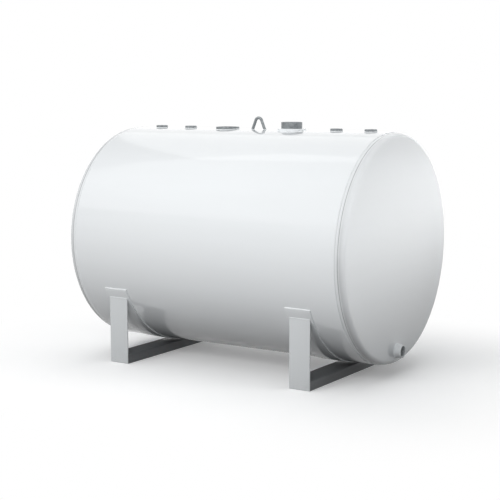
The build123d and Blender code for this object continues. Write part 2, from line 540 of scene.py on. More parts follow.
@dataclass(frozen=True)
class StudioFloor:
    """A plain pale floor that shows white in the open, keeps the tank's soft shadow and fades far off."""

    name: str = "studio_floor"
    shown_colour: Colour = (0.94, 0.94, 0.94)
    shown_glow: float = 0.14
    bounce_colour: Colour = (0.10, 0.10, 0.101)
    footprint: tuple[float, float] = (0.80, 0.50)
    fade_start: float = 0.0
    fade_end: float = 1.2

    def material(self) -> Material:
        """Builds the floor.

        Returns:
            The finished material.
        """
        material = bpy.data.materials.new(self.name)
        material.use_nodes = True
        graph = NodeGraph(material.node_tree)
        graph.tree.nodes.remove(graph.tree.nodes["Principled BSDF"])
        bounce = graph.add("ShaderNodeBsdfDiffuse", {"Color": (*self.bounce_colour, 1.0)})
        shown = graph.add("ShaderNodeBsdfDiffuse", {"Color": (*self.shown_colour, 1.0)})
        glow = graph.add("ShaderNodeEmission", {"Strength": self.shown_glow})
        lit = graph.add("ShaderNodeAddShader", {0: shown.outputs[0], 1: glow.outputs[0]})
        white = graph.add("ShaderNodeEmission", {"Strength": 1.0})
        lit = graph.add("ShaderNodeMixShader", {0: self.far(graph), 1: lit.outputs[0], 2: white.outputs[0]})
        inputs = {0: graph.seen_rays(), 1: bounce.outputs[0], 2: lit.outputs[0]}
        mix = graph.add("ShaderNodeMixShader", inputs)
        graph.feed(graph.tree.nodes["Material Output"].inputs["Surface"], mix.outputs[0])
        return material

    def far(self, graph: NodeGraph) -> Socket:
        """Tells the open floor from the floor round the tank.

        Args:
            graph: the material's nodes.

        Returns:
            From 0 at the footprint to 1 where the fade ends.
        """
        place = graph.add("ShaderNodeTexCoord").outputs["Object"]
        steps = (
            ("ABSOLUTE", {}),
            ("SUBTRACT", {1: (*self.footprint, 0.0)}),
            ("MAXIMUM", {1: (0.0, 0.0, 0.0)}),
        )
        for operation, operand in steps:
            inputs = {0: place, **operand}
            place = graph.add("ShaderNodeVectorMath", inputs, operation=operation).outputs["Vector"]
        away = graph.add("ShaderNodeVectorMath", {0: place}, operation="LENGTH").outputs["Value"]
        span = {"Value": away, "From Min": self.fade_start, "From Max": self.fade_end}
        return graph.add("ShaderNodeMapRange", span, interpolation_type="SMOOTHSTEP").outputs["Result"]


def new_object(name: str, mesh: Mesh) -> Piece:
    """Links a mesh into the scene at the origin.

    Args:
        name: the object's name.
        mesh: its mesh.

    Returns:
        The new object.
    """
    mesh.name = name
    made = bpy.data.objects.new(name, mesh)
    bpy.context.scene.collection.objects.link(made)
    return made


def marked_points(
    name: str,
    points: Sequence[Sequence[float]],
    edges: Sequence[tuple[int, int]],
    mark: str,
    directions: Sequence[Sequence[float]],
) -> Piece:
    """Makes an object of points that each carry a direction, for a geometry tree to work on.

    Args:
        name: the object's name.
        points: the points.
        edges: the pairs of points that are joined.
        mark: the name of the attribute that holds the directions.
        directions: one for each point.

    Returns:
        The new object.
    """
    mesh = bpy.data.meshes.new(name)
    mesh.from_pydata(points, edges, [])
    mesh.attributes.new(mark, "FLOAT_VECTOR", "POINT").data.foreach_set("vector", np.ravel(directions))
    return new_object(name, mesh)


def bake_modifiers(piece: Piece) -> None:
    """Turns a piece's modifiers into a plain mesh.

    Args:
        piece: the object whose modifiers are taken up.
    """
    graph = bpy.context.evaluated_depsgraph_get()
    mesh = bpy.data.meshes.new_from_object(piece.evaluated_get(graph), depsgraph=graph)
    piece.modifiers.clear()
    old, piece.data = piece.data, mesh
    bpy.data.meshes.remove(old)
    mesh.name = piece.name


def smooth_by_angle(mesh: Mesh, degrees: float = SMOOTH_ANGLE) -> None:
    """Shades a mesh smooth, with sharp edges where faces turn by more than an angle."""
    mesh.shade_smooth()
    mesh.set_sharp_from_angle(angle=math.radians(degrees))


def dress(piece: Piece, nodes: Sequence[str], material: Material | None = None) -> None:
    """Gives a finished piece its material and body, hides the nodes that it stands for, and reports it.

    Args:
        piece: the finished object.
        nodes: the model's nodes that it replaces, if any.
        material: its only material, or None where its mesh has its own.
    """
    if material is not None:
        piece.data.materials.clear()
        piece.data.materials.append(material)
    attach(piece, BODY)
    if nodes:
        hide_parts(*nodes)
    LOG.info("%s: %d faces for %s", piece.name, len(piece.data.polygons), ", ".join(nodes) or "no node")


def merged_copy(name: str, node: Piece, flat_angle: float = 0.0) -> Piece:
    """Copies a node's mesh with its loose triangles joined and smoothly shaded.

    Args:
        name: the copy's name.
        node: the model's node.
        flat_angle: in degrees; faces that turn by less than this become one.

    Returns:
        The copy, as a new object.
    """
    mesh = node.data.copy()
    for layer in [a.name for a in mesh.attributes if a.name == "custom_normal"]:
        mesh.attributes.remove(mesh.attributes[layer])
    shape = bmesh.new()
    shape.from_mesh(mesh)
    bmesh.ops.remove_doubles(shape, verts=shape.verts, dist=JOIN_DISTANCE)
    if flat_angle:
        limit = math.radians(flat_angle)
        bmesh.ops.dissolve_limit(shape, angle_limit=limit, verts=shape.verts, edges=shape.edges)
    shape.to_mesh(mesh)
    shape.free()
    smooth_by_angle(mesh)
    return new_object(name, mesh)


def eased(piece: Piece, width: float, segments: int) -> Piece:
    """Rounds a piece's sharp edges.

    Args:
        piece: the object to ease.
        width: the rounding's width.
        segments: its number of steps.

    Returns:
        The same object.
    """
    bevel = piece.modifiers.new("eased", "BEVEL")
    bevel.width = width
    bevel.segments = segments
    bevel.limit_method = "ANGLE"
    bevel.angle_limit = math.radians(SHARP_EDGE_ANGLE)
    bevel.use_clamp_overlap = True
    bevel.miter_outer = "MITER_ARC"
    bake_modifiers(piece)
    smooth_by_angle(piece.data, EASED_SMOOTH_ANGLE)
    return piece


def drilled(piece: Piece, holes: Sequence[tuple[Vector, Vector, float]], reach: float) -> None:
    """Cuts round holes through a piece.

    Args:
        piece: the object to cut.
        holes: each hole's middle, direction and radius.
        reach: how far each drill goes, both ways.
    """
    drills = []
    for middle, direction, radius in holes:
        turn = direction.to_track_quat("Z", "Y").to_matrix().to_4x4()
        turn.translation = middle
        size = {"segments": DRILL_SIDES, "radius1": radius, "radius2": radius, "depth": 2 * reach}
        shape = bmesh.new()
        bmesh.ops.create_cone(shape, cap_ends=True, matrix=turn, **size)
        mesh = bpy.data.meshes.new("drill")
        shape.to_mesh(mesh)
        shape.free()
        drill = new_object("drill", mesh)
        drills.append(drill)
        cut = piece.modifiers.new("hole", "BOOLEAN")
        cut.operation = "DIFFERENCE"
        cut.solver = "EXACT"
        cut.object = drill
    bake_modifiers(piece)
    for drill in drills:
        bpy.data.objects.remove(drill)


def mesh_points(mesh: Mesh) -> np.ndarray:
    """Reads a mesh's vertices.

    Args:
        mesh: the mesh.

    Returns:
        Their places, one row each.
    """
    flat = np.zeros(len(mesh.vertices) * 3)
    mesh.vertices.foreach_get("co", flat)
    return flat.reshape(-1, 3)


def unit(rows: np.ndarray) -> np.ndarray:
    """Rows scaled to length 1."""
    return rows / np.linalg.norm(rows, axis=-1, keepdims=True)


def circle(count: int) -> tuple[np.ndarray, np.ndarray]:
    """The cosines and sines of one turn in even steps."""
    turns = np.arange(count) * (FULL_TURN / count)
    return np.cos(turns), np.sin(turns)


@dataclass(frozen=True)
class SheetWaves:
    """The low unevenness of rolled or pressed sheet, as a sum of waves with a fixed seed."""

    height: float
    shortest: float
    longest: float
    seed: int
    count: int = 14

    def at(self, points: np.ndarray) -> np.ndarray:
        """Measures the waves.

        Args:
            points: places, one row each.

        Returns:
            The height at each place.
        """
        draw = np.random.default_rng(self.seed)
        total = np.zeros(len(points))
        for _ in range(self.count):
            run = draw.normal(size=3)
            run *= FULL_TURN / draw.uniform(self.shortest, self.longest) / np.linalg.norm(run)
            total += np.cos(points @ run + draw.uniform(0.0, FULL_TURN))
        return self.height * total / math.sqrt(self.count)


@dataclass
class TankPlaces:
    """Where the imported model's main pieces are."""

    axis_height: float
    radius: float
    shell_ends: tuple[float, float]
    mounts: dict[str, dict[str, Any]]
    nodes: dict[str, Piece]

    @classmethod
    def read(cls, frame: dict[str, Any]) -> TankPlaces:
        """Reads the frame.


        Returns:
            The places.
        """
        low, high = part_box("shell")
        mounts = {mount["name"]: mount for mount in frame["record"]["mounts"]}
        return cls((low.z + high.z) / 2, (high.z - low.z) / 2, (low.x, high.x), mounts, frame["nodes"])

    def centre(self, node: str) -> Vector:
        """The middle of a node's box."""
        low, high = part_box(node)
        return (low + high) / 2

    def size(self, node: str) -> Vector:
        """The size of a node's box."""
        low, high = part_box(node)
        return high - low

    def shell_end(self, side: Side) -> float:
        """Where the shell ends along X."""
        return self.shell_ends[side is Side.RIGHT]

    def head_span(self, side: Side) -> Span:
        """Where a pressed end has its lip and its face along X."""
        low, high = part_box(f"{side.word}_head")
        return (low.x, high.x) if side is Side.RIGHT else (high.x, low.x)

    def crown_height(self, across: np.ndarray) -> np.ndarray:
        """The height of the shell's outside at a distance from its top line."""
        return self.axis_height + np.sqrt(self.radius**2 - np.square(across))

    def bore(self, mount: str) -> float:
        """The radius of a stated bore."""
        return self.mounts[mount]["dims"]["r_mm"] * MILLIMETRE


@dataclass(frozen=True)
class RimShade:
    """Painted shade round both ends: on the flange, beside the weld, in the crease and on the knuckle, where
    it is darker towards the bottom.
    """

    flange_width_share: float = 0.6
    flange_amount: float = 0.05
    weld_offset: float = 6.0 * MILLIMETRE
    weld_half_width: float = 2.5 * MILLIMETRE
    weld_amount: float = 0.14
    crease_offset: float = -2.5 * MILLIMETRE
    crease_half_width: float = 4.5 * MILLIMETRE
    crease_amount: float = 0.75
    knuckle_offset: float = 8.0 * MILLIMETRE
    knuckle_half_width: float = 17.0 * MILLIMETRE
    knuckle_amount: float = 0.48

    def bands(self, places: TankPlaces) -> tuple[RimShadeBand, ...]:
        """Places the bands.

        Args:
            places: where the shell and its ends are.

        Returns:
            The bands of both ends.
        """
        bands = []
        for side in Side:
            out = side.value
            edge = places.shell_end(side)
            bend = places.head_span(side)[1] - out * KNUCKLE_RADIUS
            flange_half_width = abs(bend - edge) * self.flange_width_share
            crease, knuckle = bend + out * self.crease_offset, bend + out * self.knuckle_offset
            # painted shade: faint on the flange, a line for the step's shadow beside the weld, one for the
            # crease, and the knuckle darker low down
            bands += [
                RimShadeBand((edge + bend) / 2, flange_half_width, self.flange_amount),
                RimShadeBand(edge + out * self.weld_offset, self.weld_half_width, self.weld_amount),
                RimShadeBand(crease, self.crease_half_width, self.crease_amount),
                RimShadeBand(knuckle, self.knuckle_half_width, self.knuckle_amount, mostly_low=True),
            ]
        return tuple(bands)


@dataclass
class Turning:
    """A closed half section, turned about the tank's axis."""

    axis_height: float
    segments: int = 288

    def mesh(self, name: str, section: Sequence[Span], inside: Sequence[bool]) -> tuple[Mesh, np.ndarray]:
        """Turns the section into a mesh.

        Args:
            name: the mesh's name.
            section: points as (place along X, radius), closed from the last to the first.
            inside: for each point, whether the face that starts there is inside the tank.

        Returns:
            The mesh, with material 1 on inside faces, and the section's point of each vertex.
        """
        turns = np.arange(self.segments) * (FULL_TURN / self.segments)
        points: list[Triple] = []
        owners: list[int] = []
        rings: list[list[int]] = []
        for owner, (along, radius) in enumerate(section):
            start = len(points)
            around = turns if radius > 0.0 else turns[:1]
            points += [
                (along, radius * math.cos(turn), self.axis_height + radius * math.sin(turn))
                for turn in around
            ]
            owners += [owner] * len(around)
            rings.append([start + i % len(around) for i in range(self.segments)])
        faces: list[list[int]] = []
        finish: list[int] = []
        for here, ring in enumerate(rings):
            onward = rings[(here + 1) % len(rings)]
            for i in range(self.segments):
                j = (i + 1) % self.segments
                face = list(dict.fromkeys((ring[i], ring[j], onward[j], onward[i])))
                if len(face) > 2:
                    faces.append(face)
                    finish.append(int(inside[here]))
        mesh = bpy.data.meshes.new(name)
        mesh.from_pydata(points, [], faces)
        mesh.polygons.foreach_set("material_index", finish)
        shape = bmesh.new()
        shape.from_mesh(mesh)
        bmesh.ops.recalc_face_normals(shape, faces=shape.faces)
        shape.to_mesh(mesh)
        shape.free()
        return mesh, np.array(owners)


@dataclass
class TankBody:
    """The rolled shell and its two pressed ends."""

    places: TankPlaces
    paint: Material
    bare: Material
    shell_wall: float = 2.66 * MILLIMETRE
    head_wall: float = 3.4 * MILLIMETRE
    knuckle_radius: float = KNUCKLE_RADIUS
    crease_width: float = 5.0 * MILLIMETRE
    crease_depth: float = 1.2 * MILLIMETRE
    rim_round: float = 0.5 * MILLIMETRE
    hole_relief: float = 1.5 * MILLIMETRE
    drill_reach: float = 20.0 * MILLIMETRE
    shell_steps: int = 120
    inner_steps: int = 16
    knuckle_steps: int = 12
    crease_steps: int = 6
    face_steps: int = 44
    shell_waves: SheetWaves = SheetWaves(0.22 * MILLIMETRE, shortest=0.35, longest=1.3, seed=11)
    shell_calm: float = 0.12
    head_waves: SheetWaves = SheetWaves(0.45 * MILLIMETRE, shortest=0.30, longest=1.0, seed=23)
    head_calm_power: int = 6

    def build(self) -> None:
        """Makes and dresses the shell and both ends."""
        self.shell()
        for side in Side:
            self.head(side)

    def painted(self, name: str, mesh: Mesh) -> Piece:
        """Makes an object of a mesh, with the paint outside and the bare sheet inside.

        Args:
            name: the object's name.
            mesh: its mesh, with material 1 on inside faces.

        Returns:
            The new object.
        """
        piece = new_object(name, mesh)
        piece.data.materials.append(self.paint)
        piece.data.materials.append(self.bare)
        return piece

    def shell(self) -> None:
        """Makes the shell, with a hole under each crown fitting."""
        start, end = self.places.shell_ends
        outer, inner = self.places.radius, self.places.radius - self.shell_wall
        ease = self.rim_round
        section = [(x, outer) for x in np.linspace(start + ease, end - ease, self.shell_steps)]
        section += [(end, outer - ease), (end, inner + ease)]
        section += [(x, inner) for x in np.linspace(end - ease, start + ease, self.inner_steps)]
        section += [(start, inner + ease), (start, outer - ease)]
        inside = [False] * (self.shell_steps + 2) + [True] * (self.inner_steps - 1) + [False] * 3
        mesh, owners = Turning(self.places.axis_height).mesh("tank_shell", section, inside)
        self.waved_shell(mesh, owners < self.shell_steps)
        piece = self.painted("tank_shell", mesh)
        crown = self.places.axis_height + outer
        holes = [
            (Vector((*mount["pos_m"][:2], crown)), Vector(UPWARDS), self.hole(name))
            for name, mount in self.places.mounts.items()
            if tuple(mount["axis"]) == UPWARDS
        ]
        drilled(piece, holes, self.drill_reach)
        smooth_by_angle(piece.data)
        dress(piece, ["shell"])

    def hole(self, mount: str) -> float:
        """The radius of the hole behind a bore."""
        return self.places.bore(mount) + self.hole_relief

    def waved_shell(self, mesh: Mesh, moved: np.ndarray) -> None:
        """Makes the rolled sheet slightly uneven, but not at its ends.

        Args:
            mesh: the shell's mesh.
            moved: which vertices are on its outside.
        """
        points = mesh_points(mesh)
        start, end = self.places.shell_ends
        from_end = np.minimum(points[:, 0] - start, end - points[:, 0])
        share = np.clip(from_end / self.shell_calm, 0.0, 1.0) * moved
        out = points - (0.0, 0.0, self.places.axis_height)
        out[:, 0] = 0.0
        out /= np.linalg.norm(out, axis=1)[:, None]
        points += out * (self.shell_waves.at(points) * share)[:, None]
        mesh.vertices.foreach_set("co", points.ravel())

    def head(self, side: Side) -> None:
        """Makes one pressed end: flange, crease, knuckle and flat face.

        Args:
            side: which end.
        """
        node = f"{side.word}_head"
        low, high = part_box(node)
        lip, face = self.places.head_span(side)
        flange = (high.z - low.z) / 2
        flat = flange - self.knuckle_radius
        bend = face - side.value * self.knuckle_radius
        section = [(lip, flange)]
        for share in np.linspace(0.0, 1.0, self.crease_steps + 1):
            along = bend - side.value * self.crease_width * (1.0 - share)
            depth = self.crease_depth * (0.5 - 0.5 * math.cos(FULL_TURN * share))
            section.append((along, flange - depth))
        section += self.knuckle(bend, flat, side, self.knuckle_radius)[1:]
        section += [(face, radius) for radius in np.linspace(flat, 0.0, self.face_steps + 1)[1:]]
        outside = len(section)
        back = face - side.value * self.head_wall
        section += [(back, radius) for radius in np.linspace(0.0, flat, self.face_steps + 1)[:-1]]
        section += self.knuckle(bend, flat, side, self.knuckle_radius - self.head_wall)[::-1]
        section.append((lip, flange - self.head_wall))
        inside = [place >= outside for place in range(len(section))]
        mesh, _ = Turning(self.places.axis_height).mesh(node, section, inside)
        self.waved_face(mesh, flat, bend, side)
        piece = self.painted(f"tank_{node}", mesh)
        if side is Side.RIGHT:
            middle = Vector((face, *self.places.mounts["drain_thread"]["pos_m"][1:]))
            drilled(piece, [(middle, Vector((1, 0, 0)), self.hole("drain_thread"))], self.drill_reach)
        smooth_by_angle(piece.data, PRESSED_SMOOTH_ANGLE)
        dress(piece, [node])

    def knuckle(self, bend: float, flat: float, side: Side, radius: float) -> list[Span]:
        """A quarter round from the flange to the face.

        Args:
            bend: where the round starts along X.
            flat: the radius of the flat face.
            side: which end.
            radius: the round's own radius.

        Returns:
            Its points as (place along X, radius).
        """
        turns = np.linspace(0.0, math.pi / 2, self.knuckle_steps + 1)
        return [(bend + side.value * radius * math.sin(t), flat + radius * math.cos(t)) for t in turns]

    def waved_face(self, mesh: Mesh, flat: float, bend: float, side: Side) -> None:
        """Makes the flat face slightly uneven, but not at its rim.

        Args:
            mesh: the end's mesh.
            flat: the radius of the flat face.
            bend: where the knuckle starts along X.
            side: which end.
        """
        points = mesh_points(mesh)
        radius = np.hypot(points[:, 1], points[:, 2] - self.places.axis_height)
        calm = np.clip(1.0 - (radius / flat) ** self.head_calm_power, 0.0, 1.0)
        share = calm * (side.value * (points[:, 0] - bend) > 0.0)
        flat_points = points * (0.0, 1.0, 1.0) + (side.value, 0.0, 0.0)
        points[:, 0] += self.head_waves.at(flat_points) * share
        mesh.vertices.foreach_set("co", points.ravel())


class PieceTree(NodeGraph):
    """A geometry tree with named inputs, which makes one plain mesh of one material."""

    def __init__(self, name: str, inputs: dict[str, str]) -> None:
        """Starts the tree with its inputs.

        Args:
            name: the tree's name.
            inputs: the kind of each input, by its name.
        """
        super().__init__(bpy.data.node_groups.new(name, "GeometryNodeTree"))
        face = self.tree.interface
        face.new_socket("Geometry", in_out="OUTPUT", socket_type="NodeSocketGeometry")
        kinds = {"Geometry": "Geometry", **inputs, "Material": "Material"}
        self.identifiers = {
            label: face.new_socket(label, in_out="INPUT", socket_type=f"NodeSocket{kind}").identifier
            for label, kind in kinds.items()
        }
        self.given = self.add("NodeGroupInput").outputs

    def direction(self, mark: str) -> Socket:
        """The direction that each point carries."""
        inputs = {"Name": mark}
        return self.add("GeometryNodeInputNamedAttribute", inputs, data_type="FLOAT_VECTOR").outputs[0]

    def realized(self, points: Socket, instance: Socket, **placing: Socket) -> Socket:
        """Sets a shape on each point and makes the copies real.

        Args:
            points: where to set it.
            instance: the shape.
            placing: its rotation and scale at each point, where they differ.

        Returns:
            The real shapes.
        """
        inputs = {"Points": points, "Instance": instance, **placing}
        laid = self.add("GeometryNodeInstanceOnPoints", inputs).outputs[0]
        return self.add("GeometryNodeRealizeInstances", {"Geometry": laid}).outputs[0]

    def end(self, shape: Socket) -> None:
        """Gives the shape its material and ends the tree.

        Args:
            shape: what the tree has made.
        """
        inputs = {"Geometry": shape, "Material": self.given["Material"]}
        self.add("NodeGroupOutput", {"Geometry": self.add("GeometryNodeSetMaterial", inputs).outputs[0]})

    def run(self, piece: Piece, **values: Any) -> Piece:
        """Runs the tree on a piece and keeps the result as a plain mesh.

        Args:
            piece: the points to work on.
            values: the inputs, by name.

        Returns:
            The same object.
        """
        modifier = piece.modifiers.new(self.tree.name, "NODES")
        modifier.node_group = self.tree
        for name, value in values.items():
            modifier[self.identifiers[name]] = value
        bake_modifiers(piece)
        return piece


@dataclass
class BeadPath:
    """The line that one weld bead follows, with the direction that it swells in at each point."""

    points: np.ndarray
    ups: np.ndarray
    width: float
    closed: bool


@dataclass
class WeldRipples:
    """A geometry tree that lays overlapping ripples of weld along paths."""

    spacing_share: float = 0.42
    length_share: float = 1.05
    height_share: float = 0.50
    tilt: float = 0.45
    uneven: float = 0.10
    seed: int = 5
    ripple_segments: int = 8
    ripple_rings: int = 6
    tree: PieceTree = field(init=False)

    def __post_init__(self) -> None:
        """Builds the tree."""
        kinds = {"Spacing": "Float", "Size": "Vector", "Tilt": "Float", "Uneven": "Float", "Seed": "Int"}
        self.tree = tree = PieceTree("weld_ripples", kinds)
        given = tree.given
        line = tree.add("GeometryNodeMeshToCurve", {"Mesh": given["Geometry"]}).outputs[0]
        inputs = {"Curve": line, "Length": given["Spacing"]}
        even = tree.add("GeometryNodeResampleCurve", inputs, mode="LENGTH").outputs[0]
        dots = tree.add("GeometryNodeCurveToPoints", {"Curve": even}, mode="EVALUATED").outputs
        inputs = {"Primary Axis": tree.direction("bead_up"), "Secondary Axis": dots["Tangent"]}
        axes = {"primary_axis": "Z", "secondary_axis": "X"}
        turn = tree.add("FunctionNodeAxesToRotation", inputs, **axes).outputs[0]
        inputs = {"Axis": (0.0, 1.0, 0.0), "Angle": given["Tilt"]}
        lean = tree.add("FunctionNodeAxisAngleToRotation", inputs).outputs[0]
        inputs = {"Rotation": turn, "Rotate By": lean}
        turn = tree.add("FunctionNodeRotateRotation", inputs, rotation_space="LOCAL").outputs[0]
        less = tree.maths("SUBTRACT", 1.0, given["Uneven"])
        more = tree.maths("ADD", 1.0, given["Uneven"])
        inputs = {"Min": less, "Max": more, "Seed": given["Seed"]}
        grown = tree.result(tree.add("FunctionNodeRandomValue", inputs, data_type="FLOAT"))
        inputs = {"Vector": given["Size"], "Scale": grown}
        scale = tree.add("ShaderNodeVectorMath", inputs, operation="SCALE").outputs[0]
        inputs = {"Segments": self.ripple_segments, "Rings": self.ripple_rings, "Radius": 0.5}
        ripple = tree.add("GeometryNodeMeshUVSphere", inputs).outputs["Mesh"]
        real = tree.realized(dots["Points"], ripple, Rotation=turn, Scale=scale)
        tree.end(tree.add("GeometryNodeSetShadeSmooth", {"Geometry": real}).outputs[0])

    def lay(self, name: str, paths: Sequence[BeadPath], material: Material) -> Piece:
        """Lays beads of one width along paths.

        Args:
            name: the new piece's name.
            paths: the lines to follow, all of one bead width.
            material: the finish.

        Returns:
            The beads, as one plain mesh.
        """
        points, ups, edges = [], [], []
        for path in paths:
            start, count = len(points), len(path.points)
            points += path.points.tolist()
            ups += path.ups.tolist()
            edges += [(start + i, start + i + 1) for i in range(count - 1)]
            if path.closed:
                edges.append((start + count - 1, start))
        width = paths[0].width
        return self.tree.run(
            marked_points(name, points, edges, "bead_up", ups),
            Spacing=self.spacing_share * width,
            Size=[share * width for share in (self.length_share, 1.0, self.height_share)],
            Tilt=self.tilt,
            Uneven=self.uneven,
            Seed=self.seed,
            Material=material,
        )


@dataclass
class WeldBeads:
    """Every weld bead of the tank."""

    places: TankPlaces
    ripples: WeldRipples
    paint: Material
    lap_width: float = 6.4 * MILLIMETRE
    seam_width: float = 9.0 * MILLIMETRE
    fitting_width: float = 7.5 * MILLIMETRE
    lug_width: float = 6.5 * MILLIMETRE
    stand_width: float = 6.5 * MILLIMETRE
    seat: float = 1.2 * MILLIMETRE
    lap_drop: float = 1.6 * MILLIMETRE
    lap_lean: float = 0.75
    weld_leg: float = 5.0 * MILLIMETRE
    leg_head_lean: float = 0.55
    bar_inset: float = 8.0 * MILLIMETRE
    around: int = 240
    lug_around: int = 60

    def build(self) -> None:
        """Lays and dresses the beads, group by group."""
        for side in Side:
            self.finish(f"{side.word}_head_bead", [self.lap(side)], f"{side.word}_head_weld")
        self.finish("shell_seam_bead", [self.seam()], "shell_seam_weld")
        fittings = [self.round_post(node) for node in (*SMALL_BUNGS, "large_bung", "vent_riser_ring")]
        self.finish("crown_fitting_beads", fittings, "crown_fitting_welds")
        self.finish("lifting_lug_beads", self.lug_feet(), "lifting_lug_welds")
        self.finish("drain_coupling_bead", [self.drain()], "drain_coupling_weld")
        for side in Side:
            node = f"{side.word}_stand_welds"
            self.finish(f"{side.word}_stand_beads", self.stand(side), node, Slot.STAND)

    def finish(self, name: str, paths: Sequence[BeadPath], node: str, slot: Slot = Slot.TANK) -> None:
        """Lays one group of beads and dresses it."""
        dress(self.ripples.lay(name, paths, self.paint), [node])

    def lap(self, side: Side) -> BeadPath:
        """The bead round the shell's edge, on the flange of the end inside it.

        Args:
            side: which end.

        Returns:
            The bead's line.
        """
        cos, sin = circle(self.around)
        radius = self.places.radius - self.lap_drop
        along = np.full(self.around, self.places.shell_end(side) + side.value * self.seat)
        points = np.stack([along, radius * cos, self.places.axis_height + radius * sin], axis=1)
        ups = np.stack([np.full(self.around, self.lap_lean * side.value), cos, sin], axis=1)
        return BeadPath(points, unit(ups), self.lap_width, True)

    def seam(self) -> BeadPath:
        """The long seam of the rolled sheet.

        Returns:
            The bead's line.
        """
        middle = self.places.centre("shell_seam_weld")
        out = unit(np.array([0.0, middle.y, middle.z - self.places.axis_height]))
        base = out * self.places.radius + (0.0, 0.0, self.places.axis_height)
        start, end = self.places.shell_ends
        points = np.array([base + (x, 0.0, 0.0) for x in (start + self.seat, end - self.seat)])
        return BeadPath(points, np.array([out, out]), self.seam_width, False)

    def on_crown(self, x: float, radius: float, count: int, width: float) -> BeadPath:
        """The bead round the foot of an upright post on the crown.

        Args:
            x: the post's place along the tank.
            radius: the bead's radius.
            count: how many points it has.
            width: the bead's width.

        Returns:
            The bead's line, which swells between the shell and the post's wall.
        """
        cos, sin = circle(count)
        y = radius * sin
        z = self.places.crown_height(y)
        normal = np.stack([np.zeros_like(y), y, z - self.places.axis_height], axis=1) / self.places.radius
        outward = np.stack([cos, sin, np.zeros(count)], axis=1)
        return BeadPath(np.stack([x + radius * cos, y, z], axis=1), unit(normal + outward), width, True)

    def round_post(self, node: str) -> BeadPath:
        """The bead round the foot of a fitting on the crown."""
        radius = self.places.size(node).x / 2 + self.seat
        return self.on_crown(self.places.centre(node).x, radius, self.around, self.fitting_width)

    def lug_feet(self) -> list[BeadPath]:
        """The beads round both feet of the lifting lug.

        Returns:
            The beads' lines.
        """
        middle, size = self.places.centre("lifting_lug_welds"), self.places.size("lifting_lug_welds")
        bar = self.places.size("lifting_lug").y / 2
        spread = size.x / 2 - bar - self.weld_leg
        radius = bar + self.seat
        return [
            self.on_crown(middle.x + side.value * spread, radius, self.lug_around, self.lug_width)
            for side in Side
        ]

    def drain(self) -> BeadPath:
        """The bead round the drain coupling's foot.

        Returns:
            The bead's line.
        """
        middle, size = self.places.centre("drain_coupling"), self.places.size("drain_coupling")
        cos, sin = circle(self.around)
        radius = size.z / 2 + self.seat
        face = middle.x - size.x / 2
        points = np.stack([np.full(self.around, face), radius * cos, middle.z + radius * sin], axis=1)
        ups = unit(np.stack([np.ones(self.around), cos, sin], axis=1))
        return BeadPath(points, ups, self.fitting_width, True)

    def stand(self, side: Side) -> list[BeadPath]:
        """The beads of one stand: on the strap's ends, the leg heads and the crossbar's ends.

        Args:
            side: which stand.

        Returns:
            The beads' lines.
        """
        word = side.word
        strap_low, strap_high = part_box(f"{word}_saddle")
        bar_low, bar_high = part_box(f"{word}_crossbar")
        rise = strap_high.z - self.places.axis_height
        paths = []
        for front, leg in ((-1.0, "front_leg"), (1.0, "rear_leg")):
            leg_low, leg_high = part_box(f"{word}_{leg}")
            face, inner = (leg_low.y, bar_low.y) if front < 0 else (leg_high.y, bar_high.y)
            on_shell = front * math.sqrt(self.places.radius**2 - rise**2)
            up = np.array(UPWARDS) + unit(np.array([0.0, on_shell, rise]))
            paths.append(self.level(strap_low.x, strap_high.x, on_shell, strap_high.z, up))
            up = np.array([0.0, front, self.leg_head_lean])
            paths.append(self.level(leg_low.x, leg_high.x, face, leg_high.z, up))
            up = np.array([0.0, -front, 1.0])
            start, end = bar_low.x + self.bar_inset, bar_high.x - self.bar_inset
            paths.append(self.level(start, end, inner, bar_high.z, up))
        return paths

    def level(self, start: float, end: float, y: float, z: float, up: np.ndarray) -> BeadPath:
        """A straight bead along X.

        Args:
            start: where it starts.
            end: where it ends.
            y: its place across the tank.
            z: its height.
            up: the direction that it swells in, of any length.

        Returns:
            The bead's line.
        """
        ease = self.stand_width / 2
        points = np.array([[start + ease, y, z], [end - ease, y, z]])
        return BeadPath(points, unit(np.array([up, up])), self.stand_width, False)


class ThreadForm(Enum):
    """The two pipe threads, each with its pitch and the size of its tooth."""

    SMALL = (2.2 * MILLIMETRE, 0.95 * MILLIMETRE)
    LARGE = (3.18 * MILLIMETRE, 1.35 * MILLIMETRE)

    @property
    def pitch(self) -> float:
        """The distance from one turn to the next."""
        return self.value[0]

    @property
    def tooth(self) -> float:
        """The size of the tooth."""
        return self.value[1]


@dataclass(frozen=True)
class ThreadSize:
    """One pipe thread: its form, radius and length."""

    form: ThreadForm
    radius: float
    length: float


